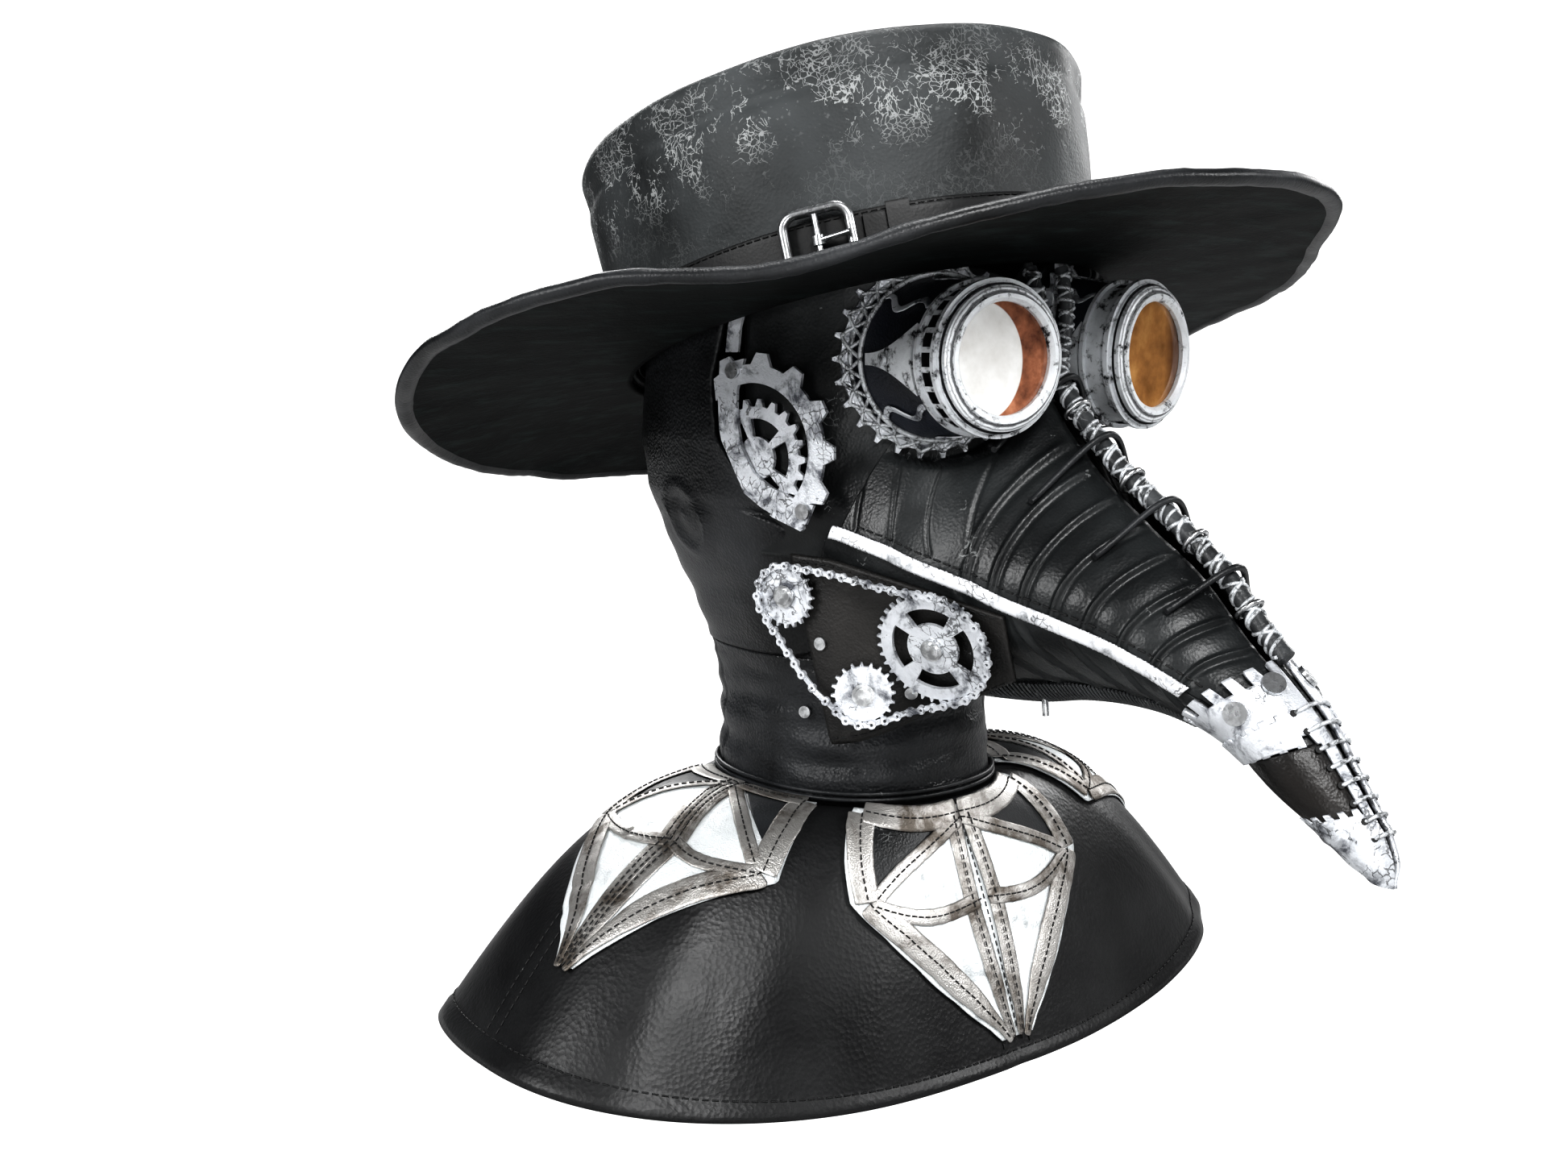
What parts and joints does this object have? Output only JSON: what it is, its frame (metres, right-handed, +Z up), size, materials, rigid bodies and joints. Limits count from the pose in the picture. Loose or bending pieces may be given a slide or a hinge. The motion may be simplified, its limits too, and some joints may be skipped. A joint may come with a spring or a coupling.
{
  "type": "plague doctor mask",
  "caption": "Beaked leather mask with goggle eyepieces, chain and gear ornament, worn with a hood, shoulder mantle and wide-brimmed hat.",
  "frame": {"origin": "centre of the wearer's head, between the ears at the height of the eyes' lower edge", "axes": "+X towards the wearer's left, -Y the way the wearer faces, +Z up"},
  "size_m": [0.4478, 0.4567, 0.4421],
  "materials": {
    "hat_leather": "distressed matt",
    "black_leather": "smooth satin",
    "silver_leather": "silvered and rubbed",
    "cup_leather": "painted blue-black",
    "painted_ring": "silver painted over black",
    "bright_metal": "polished",
    "tinted_glass": "copper tint",
    "cord": "silver wrapped cord",
    "lining": "matt"
  },
  "bodies": {
    "hood": {"beak_upper_right": "black_leather", "beak_upper_left": "black_leather", "beak_lower_right": "black_leather", "beak_lower_left": "black_leather", "mask_face_right": "black_leather", "mask_face_left": "black_leather", "mouth_trims": "silver_leather", "ridge_cord": "cord", "ridge_thongs": "black_leather", "ridge_rings": "bright_metal", "tip_plates": "silver_leather", "tip_plates_engraved": "silver_leather", "tip_insets": "black_leather", "tip_front_strips": "silver_leather", "tip_cap": "silver_leather", "tip_rivets": "bright_metal", "tip_lacing": "bright_metal", "jaw_seam": "black_leather", "jaw_pin": "bright_metal", "eyecup_right": "cup_leather", "eyecup_left": "cup_leather", "eyecup_base_rings": "silver_leather", "eyecup_collars": "painted_ring", "eyecup_brackets": "painted_ring", "cheek_panel_right": "black_leather", "cheek_panel_left": "black_leather", "cheek_sprockets_large": "silver_leather", "cheek_sprockets_small": "silver_leather", "cheek_cap_rivets": "bright_metal", "cheek_chains": "silver_leather", "temple_rings": "silver_leather", "temple_gears": "silver_leather", "temple_rivets": "bright_metal", "temple_strips": "silver_leather", "hood_right": "black_leather", "hood_left": "black_leather", "neck": "black_leather", "mantle_front_right": "black_leather", "mantle_front_left": "black_leather", "mantle_back_right": "black_leather", "mantle_back_left": "black_leather", "mantle_applique_front": "silver_leather", "mantle_appliques_side": "silver_leather", "neck_snaps": "bright_metal"},
    "hat": {"hat_crown_side": "hat_leather", "hat_crown_top": "hat_leather", "hat_brim": "hat_leather", "hat_brim_binding": "black_leather", "hat_band": "black_leather", "hat_band_tail": "black_leather", "hat_band_keeper": "black_leather", "hat_buckle_frame": "bright_metal", "hat_sweatband": "lining"},
    "hat_prong": {"hat_buckle_prong": "bright_metal"},
    "ring_right": {"lens_ring_right": "painted_ring", "lens_right": "tinted_glass"},
    "ring_left": {"lens_ring_left": "painted_ring", "lens_left": "tinted_glass"}
  },
  "joints": [
    {"name": "hat_lift", "type": "slide", "parent": "hood", "child": "hat", "axis": [0, 0.2689, 0.9632], "range_m": [0, 0.13]},
    {"name": "prong_swing", "type": "hinge", "parent": "hat", "child": "hat_prong", "pos_m": [-0.08338, -0.07289, 0.06469], "axis": [0.0594, -0.224, -0.9728], "range_deg": [0, 100]},
    {"name": "ring_turn_right", "type": "hinge", "parent": "hood", "child": "ring_right", "pos_m": [-0.0437, -0.1335, 0.0188], "axis": [-0.1478, -0.989, 0], "range_deg": [0, 60]},
    {"name": "ring_turn_left", "type": "hinge", "parent": "hood", "child": "ring_left", "pos_m": [0.0437, -0.1335, 0.0188], "axis": [0.1478, -0.989, 0], "range_deg": [-60, 0]}
  ]
}
